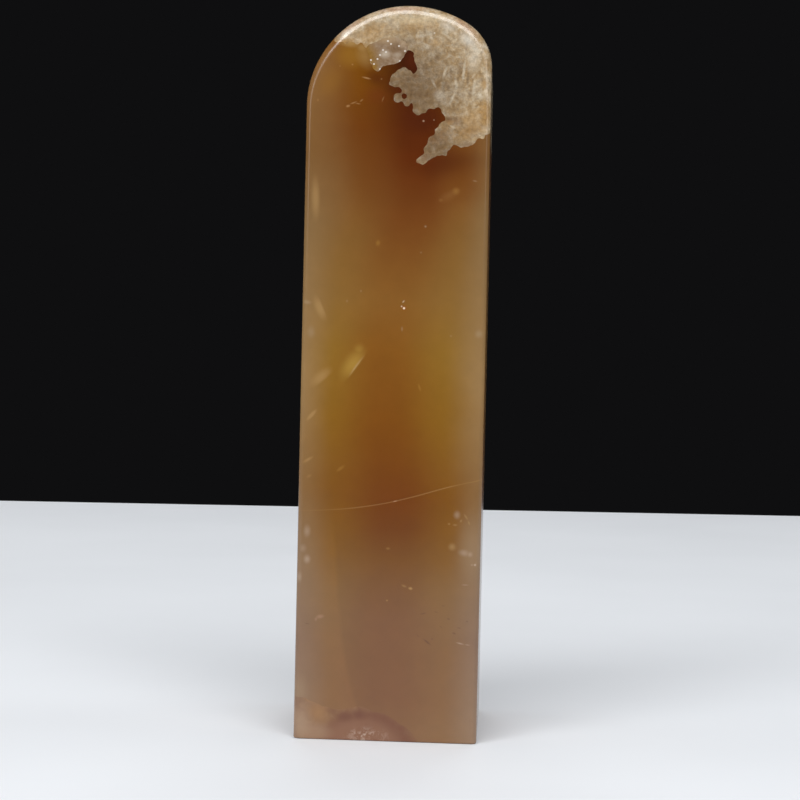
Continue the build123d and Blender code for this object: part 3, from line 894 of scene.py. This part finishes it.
bm = bmesh.new()
for column_side in (-1, 1):
    for row_side in (-1, 1):
        for (from_a, from_b), (to_a, to_b) in zip(spiral_corners, spiral_corners[1:]):
            across = column_side * (spiral_side + gap) / 2
            across += ((from_a + to_a) / 2 - spiral_span / 2) * stroke_pitch
            depth = row_side * (spiral_side + gap) / 2
            depth += ((from_b + to_b) / 2 - spiral_span / 2) * stroke_pitch
            wide = abs(to_a - from_a) * stroke_pitch + stroke_width
            deep = abs(to_b - from_b) * stroke_pitch + stroke_width
            block(bm, across, depth, wide, deep, foot - stroke_margin, foot + 2 * relief_depth)
strokes = cutting_shape("strokes", bm)
bm = bmesh.new()
block(bm, 0, 0, field, field, foot - relief_depth, foot + relief_depth)
engraving = cutting_shape("engraving", bm)
cut = engraving.modifiers.new("cut", "BOOLEAN")
cut.operation = "DIFFERENCE"
cut.object = strokes
cut.solver = "EXACT"
cut.use_self = True
settled(engraving)

# Cloud in the foot
# Milky, iron-tinted silica in the front left corner of the foot, mottled, with a dark rim on its
# right. It grew in the chalcedony, and is cut flush with the bar and with the seal face.
cloud_px = [
    (270, 694), (300, 697), (310, 701), (319, 703), (330, 707), (341, 709), (350, 708), (356, 705.5),
    (364, 707), (371, 710), (379, 713), (387, 716), (395, 720), (402, 725), (408, 730), (413, 734),
    (421, 746), (420, 765), (270, 765),
]
cloud_depth = 1.2 * mm
cloud_voxel = 0.16 * mm
cloud_roughness = [(1.6 * mm, 0.25 * mm, 0.25 * mm), (0.6 * mm, 0.1 * mm, 0.1 * mm)]
# Across, depth and height of the lumps behind it, in millimetres, with their radius
cloud_balls = [(-9.2, -8.8, 0.3, 3.3), (-6.0, -9.4, 0.4, 3.2), (-3.2, -9.6, 0.4, 2.9),
               (-9.6, -4.4, -0.4, 2.6)]
bm = bmesh.new()
traced(bm, cloud_px, cloud_depth)
for across, depth, height, radius in cloud_balls:
    ball(bm, (across * mm, depth * mm, height * mm), radius * mm)
cloud_mass = rough_mass("cloud_mass", bm, cloud_voxel, cloud_roughness)

# The veil: a faint sheet of growth that meets the front in a line, paler on its left. First the
# line's rows and columns. Then, in millimetres, how far from the line its tints reach, how near it
# they are fullest, over what half width they swap, and how deep they go. Last the shares of the
# height between which they fade in, and their strength.
veil_rows = [(512, 333), (596, 338), (650, 343), (689, 351), (708, 357)]
veil_reach = 3.2
veil_clear = 0.15
veil_turns = 0.25
veil_depth = 6.0
veil_ends = (0.315, 0.27)
veil_strength = 0.065


def veiled(tree, places, colour):
    """Lightens the stone left of the veil and darkens it just right of it."""
    apart = add(tree, "SeparateXYZ", {0: places}).outputs
    height = add(tree, "Math", {0: apart["Z"], 1: bar_height}, operation="DIVIDE")
    stops = []
    for down_px, across_px in reversed(veil_rows):
        spot = front_spot(across_px, down_px)
        stops.append(((spot.z - foot) / (crown - foot), -spot.x / (right - left)))
    line = add(tree, "ValToRGB", {"Fac": height}, stops=stops)
    beside = add(tree, "Math", {0: line, 1: 2 * half_width, 2: apart["X"]}, operation="MULTIPLY_ADD")
    sides = []
    for side in (-1, 1):
        near = add(tree, "MapRange", {"Value": beside, "From Min": side * veil_reach,
                                      "From Max": side * veil_clear})
        kept = add(tree, "MapRange", {"Value": beside, "From Min": -side * veil_turns,
                                      "From Max": side * veil_turns})
        sides.append(add(tree, "Math", {0: near, 1: kept}, operation="MULTIPLY"))
    tint = add(tree, "Math", {0: sides[0], 1: sides[1]}, operation="SUBTRACT")
    low = add(tree, "MapRange", {"Value": height, "From Min": veil_ends[0], "From Max": veil_ends[1]})
    shallow = add(tree, "MapRange", {"Value": apart["Y"], "From Min": veil_depth - half_width,
                                     "From Max": -half_width})
    for share in (low, shallow):
        tint = add(tree, "Math", {0: tint, 1: share}, operation="MULTIPLY")
    scale = add(tree, "Math", {0: tint, 1: veil_strength, 2: 1.0}, operation="MULTIPLY_ADD")
    return add(tree, "VectorMath", {0: colour, "Scale": scale}, operation="SCALE")


cloud_stains = [
    # a dark rim, paler below it, and a darker heart at the rim's left end
    ("#683c28", [(366, 747, 57, 42, 0, 0.3, 0.75)]),
    ("#805840", [(359, 754, 54, 42, 0, 0.35, 0.9)]),
    ("#633926", [(344, 716, 15, 8, 0, 1, 0.6), (358, 714, 12, 8, 10, 1, 0.6),
                 (333, 712, 12, 6, 10, 1, 0.35), (366, 728, 14, 8, 0, 1, 0.2)]),
    ("#936b42", [(318, 712, 16, 16, 10, 1, 0.7), (314, 700, 16, 5, 14, 1, 0.7)]),
    ("#907056", [(314, 732, 24, 13, 0, 0.8, 0.9)]),
    ("#9c8067", [(300, 722, 16, 24, 0, 1, 0.7)]),
]
# Cloudy chalcedony, polished: mauve mottles a little over 1 mm wide, with milky veins about half as
# wide at the foot
mauve_cloud, tree, places = new_material("mauve_cloudy_chalcedony")
colour = veiled(tree, places, honey_colour(tree, places))
mottles = add(tree, "TexNoise", {"Vector": places, "Scale": 0.8, "Detail": 5.0, "Roughness": 0.6,
                                 "Distortion": 0.8})
tint = add(tree, "ValToRGB", {"Fac": mottles},
           stops=[(0.35, "#704635"), (0.5, "#835c41"), (0.68, "#977558")])
colour = add(tree, "Mix", {0: 0.35, 6: colour, 7: tint}, data_type="RGBA").outputs[2]
colour = stained_and_highlighted(tree, places, colour, cloud_stains)
veins = add(tree, "TexNoise", {"Vector": places, "Scale": 1.6, "Detail": 4.0, "Roughness": 0.7,
                               "Distortion": 1.2})
veins = add(tree, "MapRange", {"Value": veins, "From Min": 0.48, "From Max": 0.66})
milky_foot = soft_spot(tree, places, (366, 736, 30, 12, 0, 1, 0.8))
veins = add(tree, "Math", {0: veins, 1: milky_foot}, operation="MULTIPLY")
colour = add(tree, "Mix", {0: veins, 6: colour, 7: linear("#b9a392")}, data_type="RGBA").outputs[2]
polished_stone(tree, places, colour)
polished("foot_cloud", mauve_cloud, "mauve_cloud", "base_cloud",
         (cloud_mass, "INTERSECT"), (engraving, "DIFFERENCE"))

# Lower block of chalcedony
# The same silica below the fracture, with the cloud's pocket and the seal cut into its foot. The
# stamp stands on it. It is sawn and buffed in one with the block above.
lower_stains = [
    # hazier on the right, with soft white clouds near both edges, and smaller specks
    ("#937a5e", [(472, 546, 20, 46, 0, 1, 0.4), (299, 692, 12, 26, 0, 1, 0.4)]),
    ("#b09a86", [(307, 531, 5, 9, 0, 1, 0.35), (303, 548, 5, 6, 0, 1, 0.25),
                 (307, 559, 5, 6.5, 0, 1, 0.45), (299, 577, 4, 8, 0, 1, 0.35),
                 (457, 515, 5, 6, 0, 1, 0.35), (464, 553, 8, 5, 10, 1, 0.35),
                 (470, 554.5, 4, 4, 0, 1, 0.35), (475, 565, 1.7, 1.6, 0, 0.8, 0.8),
                 (472, 565, 2, 1.4, 0, 0.9, 0.3)]),
    ("#ab8a5c", [(452, 547, 5.5, 5.5, 0, 1, 0.4), (449, 524, 2, 1.6, 0, 0.9, 0.35),
                 (455, 525, 3.4, 1.6, 0, 0.9, 0.3), (461, 521, 1.6, 2.4, 30, 0.9, 0.3),
                 (466, 517, 1.5, 5, -35, 0.9, 0.3), (469, 523, 1.4, 3, -25, 0.9, 0.3)]),
    ("#bb935a", [(410.5, 588.5, 3, 2, 10, 0.9, 0.55), (404, 586, 4, 1.6, 20, 0.9, 0.25),
                 (388, 548.5, 3.2, 1.8, 0, 0.9, 0.25), (387, 600.5, 1.5, 1.3, 0, 0.9, 0.4)]),
    ("#ab866c", [(320, 616.5, 6, 3, -10, 0.9, 0.35), (316, 619, 2, 3, 20, 0.9, 0.3)]),
    ("#b39c86", [(460, 643.5, 5.5, 1.1, 12, 0.9, 0.45), (467.5, 645, 3.6, 0.9, 6, 0.9, 0.35),
                 (465, 585, 5, 0.9, 0, 0.9, 0.3)]),
    # small open pits and scratches
    ("#492b18", [(427, 642, 6.5, 1.3, 38, 0.8, 0.6), (432, 639, 1.4, 1.2, 0, 0.9, 0.4),
                 (454, 633.4, 2.6, 1.4, 15, 0.9, 0.5), (423, 613.6, 4.4, 1.1, -15, 0.9, 0.45),
                 (448.5, 619, 2.3, 1.3, 20, 0.9, 0.4), (307, 623.5, 3.6, 1.1, 8, 0.9, 0.35),
                 (436, 612, 3.2, 1, 12, 0.9, 0.35), (443, 606, 2.4, 1, 0, 0.9, 0.3),
                 (459, 628, 3.2, 1, 10, 0.9, 0.35), (441, 627, 2.6, 0.9, 30, 0.9, 0.3),
                 (467, 621.5, 1.6, 1.2, 0, 0.9, 0.35), (418, 636, 3, 0.9, 40, 0.9, 0.3)]),
]
# Polished chalcedony, greyer and browner towards the foot
lower_chalcedony, tree, places = new_material("polished_brown_chalcedony")
colour = veiled(tree, places, honey_colour(tree, places))
polished_stone(tree, places, stained_and_highlighted(tree, places, colour, lower_stains))
polished("lower_chalcedony", lower_chalcedony, "honey_chalcedony", "lower_stone",
         (below_fracture, "INTERSECT"), (cloud_mass, "DIFFERENCE"), (engraving, "DIFFERENCE"))

for cutter in cutters:
    bpy.data.objects.remove(cutter)
